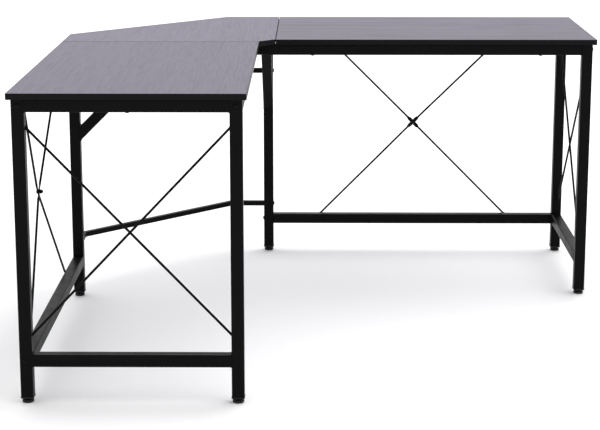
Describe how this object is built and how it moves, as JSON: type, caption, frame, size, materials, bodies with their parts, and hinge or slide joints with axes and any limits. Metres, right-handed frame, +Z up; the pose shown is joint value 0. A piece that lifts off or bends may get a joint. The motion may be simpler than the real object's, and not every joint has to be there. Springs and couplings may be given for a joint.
{
  "type": "corner desk",
  "caption": "L-shaped corner desk: two rectangular tops and a clipped corner top on a black square-tube frame with crossed rods, corner ties, angled braces and levelling feet.",
  "frame": {"origin": "on the floor, midway across the whole object, outermost bolt heads included", "axes": "+Z up; +X along the right wing, away from the corner; -Y along the left wing, away from the corner; the corner is at -X +Y"},
  "size_m": [1.5158, 1.5158, 0.745],
  "materials": {
    "board": "grey wood-grain laminate with a black edge band, satin",
    "steel": "black powder coat, satin",
    "plastic": "moulded black, matt",
    "fastener": "black plated steel, satin"
  },
  "bodies": {
    "frame": {"corner_desktop": "board", "inner_corner_connector": "plastic", "upper_tie_bar": "steel", "lower_tie_bar": "steel", "left_desktop": "board", "left_corner_leg": "steel", "left_corner_end_cap": "plastic", "left_end_wall_leg": "steel", "left_end_wall_end_cap": "plastic", "left_end_inner_leg": "steel", "left_end_inner_end_cap": "plastic", "left_wall_top_rail": "steel", "left_wall_bottom_rail": "steel", "left_end_top_rail": "steel", "left_end_bottom_rail": "steel", "left_inner_top_rail": "steel", "left_corner_arm": "steel", "left_corner_brace": "steel", "left_end_rod_rising": "steel", "left_end_rod_falling": "steel", "left_wall_rod_rising": "steel", "left_wall_rod_falling": "steel", "left_cross_bolt": "fastener", "left_cross_cap_nut": "fastener", "left_low_rail_end_bolt": "fastener", "left_low_rail_corner_bolt": "fastener", "left_inner_rail_bolt": "fastener", "left_lower_tie_bolt": "fastener", "left_upper_tie_bolt": "fastener", "right_desktop": "board", "right_corner_leg": "steel", "right_corner_end_cap": "plastic", "right_end_wall_leg": "steel", "right_end_wall_end_cap": "plastic", "right_end_inner_leg": "steel", "right_end_inner_end_cap": "plastic", "right_wall_top_rail": "steel", "right_wall_bottom_rail": "steel", "right_end_top_rail": "steel", "right_end_bottom_rail": "steel", "right_inner_top_rail": "steel", "right_corner_arm": "steel", "right_corner_brace": "steel", "right_end_rod_rising": "steel", "right_end_rod_falling": "steel", "right_wall_rod_rising": "steel", "right_wall_rod_falling": "steel", "right_cross_bolt": "fastener", "right_cross_cap_nut": "fastener", "right_low_rail_end_bolt": "fastener", "right_low_rail_corner_bolt": "fastener", "right_inner_rail_bolt": "fastener", "right_lower_tie_bolt": "fastener", "right_upper_tie_bolt": "fastener"},
    "left_corner_levelling_foot": {"left_corner_levelling_foot": "plastic"},
    "left_end_wall_levelling_foot": {"left_end_wall_levelling_foot": "plastic"},
    "left_end_inner_levelling_foot": {"left_end_inner_levelling_foot": "plastic"},
    "right_corner_levelling_foot": {"right_corner_levelling_foot": "plastic"},
    "right_end_wall_levelling_foot": {"right_end_wall_levelling_foot": "plastic"},
    "right_end_inner_levelling_foot": {"right_end_inner_levelling_foot": "plastic"}
  },
  "joints": [
    {"name": "left_corner_foot_screw", "type": "slide", "parent": "frame", "child": "left_corner_levelling_foot", "axis": [0, 0, -1], "range_m": [0, 0.01]},
    {"name": "left_end_wall_foot_screw", "type": "slide", "parent": "frame", "child": "left_end_wall_levelling_foot", "axis": [0, 0, -1], "range_m": [0, 0.01]},
    {"name": "left_end_inner_foot_screw", "type": "slide", "parent": "frame", "child": "left_end_inner_levelling_foot", "axis": [0, 0, -1], "range_m": [0, 0.01]},
    {"name": "right_corner_foot_screw", "type": "slide", "parent": "frame", "child": "right_corner_levelling_foot", "axis": [0, 0, -1], "range_m": [0, 0.01]},
    {"name": "right_end_wall_foot_screw", "type": "slide", "parent": "frame", "child": "right_end_wall_levelling_foot", "axis": [0, 0, -1], "range_m": [0, 0.01]},
    {"name": "right_end_inner_foot_screw", "type": "slide", "parent": "frame", "child": "right_end_inner_levelling_foot", "axis": [0, 0, -1], "range_m": [0, 0.01]}
  ]
}
